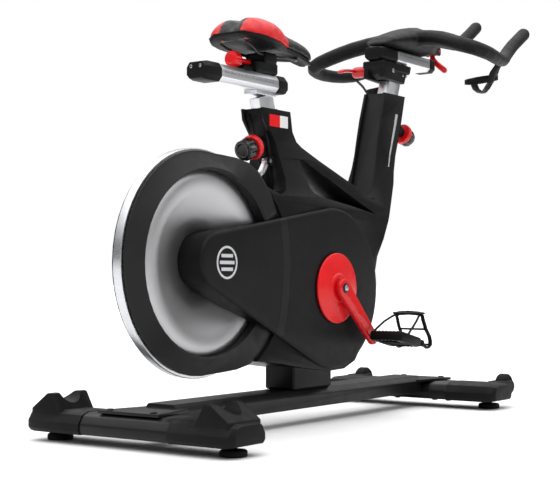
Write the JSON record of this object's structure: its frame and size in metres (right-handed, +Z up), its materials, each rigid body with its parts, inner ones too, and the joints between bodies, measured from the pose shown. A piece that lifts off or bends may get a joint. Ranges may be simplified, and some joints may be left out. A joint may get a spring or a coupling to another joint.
{
  "type": "indoor exercise bike",
  "caption": "Stationary indoor cycle: belt-driven flywheel and cranks on a floor frame, with sliding saddle and handlebar posts, magnet brake and toe-cage pedals.",
  "frame": {"origin": "middle of the bike's footprint, on the floor under its feet", "axes": "+X forward to the handlebar, +Y to the rider's left, +Z up"},
  "size_m": [1.3994, 0.5404, 1.008],
  "materials": {
    "frame_paint": "satin black paint",
    "steel": "turned steel",
    "disc_aluminium": "satin silver-grey",
    "aluminium": "brushed",
    "red_anodised": "red metallic",
    "red_plastic": "red, glossy",
    "guard_plastic": "satin black",
    "dark_steel": "blackened steel",
    "rubber": "matt black",
    "belt_rubber": "ribbed belt",
    "grip_foam": "soft textured grip",
    "saddle_cover": "synthetic leather, black with red panels",
    "black_plastic": "black moulded plastic"
  },
  "bodies": {
    "base": {"main_beam": "frame_paint", "rear_stabilizer": "frame_paint", "front_stabilizer": "frame_paint", "rear_end_cap_left": "black_plastic", "rear_end_cap_right": "black_plastic", "front_end_cap_left": "black_plastic", "front_end_cap_right": "black_plastic", "frame": "frame_paint", "flywheel_shroud_left": "black_plastic", "flywheel_shroud_right": "black_plastic", "flywheel_bearing_left": "steel", "flywheel_bearing_right": "steel", "belt_guard_rear": "guard_plastic", "belt_guard_front": "guard_plastic", "belt_guard_band": "black_plastic", "left_crank_cover": "guard_plastic", "bottom_bracket": "steel", "drive_belt": "belt_rubber"},
    "flywheel_wheel": {"flywheel": "steel", "flywheel_face_left": "disc_aluminium", "flywheel_face_right": "disc_aluminium", "flywheel_pulley_shaft": "dark_steel"},
    "crankset": {"crank_axle": "steel", "crank_pulley": "dark_steel", "crank_disc": "red_plastic", "crank_arm_left": "red_anodised", "crank_arm_right": "red_anodised", "pedal_spindle_left": "steel", "pedal_spindle_right": "steel"},
    "pedal_right": {"pedal_body_right": "black_plastic", "toe_cage_right": "black_plastic"},
    "pedal_left": {"pedal_body_left": "black_plastic", "toe_cage_left": "black_plastic"},
    "seat_height": {"seat_post": "aluminium", "seat_rail": "aluminium", "seat_rail_cap_rear": "black_plastic", "seat_rail_cap_front": "black_plastic"},
    "seat_pin": {"seat_post_knob": "red_plastic"},
    "saddle": {"saddle_carriage": "black_plastic", "saddle_rails": "dark_steel", "saddle_shell": "black_plastic", "saddle_cushion": "saddle_cover"},
    "saddle_screw": {"saddle_knob": "red_plastic"},
    "bar_height": {"handlebar_post": "aluminium"},
    "bar_pin": {"handlebar_post_knob": "red_plastic"},
    "bar": {"handlebar_rail": "aluminium", "handlebar_rail_cap_rear": "black_plastic", "handlebar_rail_cap_front": "black_plastic", "handlebar": "grip_foam", "bottle_holder_left": "black_plastic", "bottle_holder_right": "black_plastic"},
    "quick_release": {"quick_release_lever": "red_anodised"},
    "resistance_control": {"resistance_lever": "red_plastic"},
    "brake_arm": {"magnet_brake": "aluminium"},
    "wheel_left": {"transport_wheel_left": "rubber"},
    "wheel_right": {"transport_wheel_right": "rubber"},
    "foot_rear_left": {"rear_foot_left": "rubber"},
    "foot_rear_right": {"rear_foot_right": "rubber"},
    "foot_front_left": {"front_foot_left": "rubber"},
    "foot_front_right": {"front_foot_right": "rubber"}
  },
  "joints": [
    {"name": "flywheel_spin", "type": "hinge", "parent": "base", "child": "flywheel_wheel", "pos_m": [-0.4682, 0, 0.355], "axis": [0, 1, 0], "continuous": true},
    {"name": "crank_spin", "type": "hinge", "parent": "base", "child": "crankset", "pos_m": [-0.0512, 0, 0.303], "axis": [0, 1, 0], "continuous": true},
    {"name": "pedal_right_spin", "type": "hinge", "parent": "crankset", "child": "pedal_right", "pos_m": [0.07313, -0.1595, 0.18706], "axis": [0, 1, 0], "continuous": true},
    {"name": "pedal_left_spin", "type": "hinge", "parent": "crankset", "child": "pedal_left", "pos_m": [-0.17553, 0.1595, 0.41894], "axis": [0, 1, 0], "continuous": true},
    {"name": "seat_height_slide", "type": "slide", "parent": "base", "child": "seat_height", "axis": [-0.2924, 0, 0.9563], "range_m": [0, 0.1]},
    {"name": "seat_pin_pull", "type": "slide", "parent": "base", "child": "seat_pin", "axis": [-0.9563, 0, -0.2924], "range_m": [0, 0.012], "stiffness_N_per_m": 900, "springref_m": -0.01},
    {"name": "saddle_slide", "type": "slide", "parent": "seat_height", "child": "saddle", "axis": [1, 0, 0], "range_m": [-0.085, 0]},
    {"name": "saddle_screw_turn", "type": "hinge", "parent": "saddle", "child": "saddle_screw", "pos_m": [-0.3212, 0, 0.789], "axis": [1, 0, 0], "continuous": true},
    {"name": "bar_height_slide", "type": "slide", "parent": "base", "child": "bar_height", "axis": [0.3502, 0, 0.9367], "range_m": [0, 0.085]},
    {"name": "bar_pin_pull", "type": "slide", "parent": "base", "child": "bar_pin", "axis": [0.9367, 0, -0.3502], "range_m": [0, 0.012], "stiffness_N_per_m": 900, "springref_m": -0.01},
    {"name": "bar_reach_slide", "type": "slide", "parent": "bar_height", "child": "bar", "axis": [1, 0, 0], "range_m": [-0.06, 0.02]},
    {"name": "quick_release_turn", "type": "hinge", "parent": "bar_height", "child": "quick_release", "pos_m": [0.2768, 0.056, 0.846], "axis": [0, 1, 0], "range_deg": [-110, 0]},
    {"name": "resistance_lever_turn", "type": "hinge", "parent": "bar", "child": "resistance_control", "pos_m": [0.5428, 0, 0.93], "axis": [0, 1, 0], "range_deg": [-30, 0]},
    {"name": "brake_turn", "type": "hinge", "parent": "base", "child": "brake_arm", "pos_m": [-0.2282, -0.014, 0.579], "axis": [0, 1, 0], "range_deg": [0, 6]},
    {"name": "wheel_left_spin", "type": "hinge", "parent": "base", "child": "wheel_left", "pos_m": [0.5268, 0.21, 0.052], "axis": [0, 1, 0], "continuous": true},
    {"name": "wheel_right_spin", "type": "hinge", "parent": "base", "child": "wheel_right", "pos_m": [0.5268, -0.21, 0.052], "axis": [0, 1, 0], "continuous": true},
    {"name": "foot_rear_left_screw", "type": "slide", "parent": "base", "child": "foot_rear_left", "axis": [0, 0, -1], "range_m": [0, 0.012]},
    {"name": "foot_rear_right_screw", "type": "slide", "parent": "base", "child": "foot_rear_right", "axis": [0, 0, -1], "range_m": [0, 0.012]},
    {"name": "foot_front_left_screw", "type": "slide", "parent": "base", "child": "foot_front_left", "axis": [0, 0, -1], "range_m": [0, 0.012]},
    {"name": "foot_front_right_screw", "type": "slide", "parent": "base", "child": "foot_front_right", "axis": [0, 0, -1], "range_m": [0, 0.012]}
  ],
  "couplings": [
    {"joint": "crank_spin", "follows": "flywheel_spin", "ratio": 0.28571},
    {"joint": "brake_turn", "follows": "resistance_lever_turn", "ratio": -0.2}
  ]
}
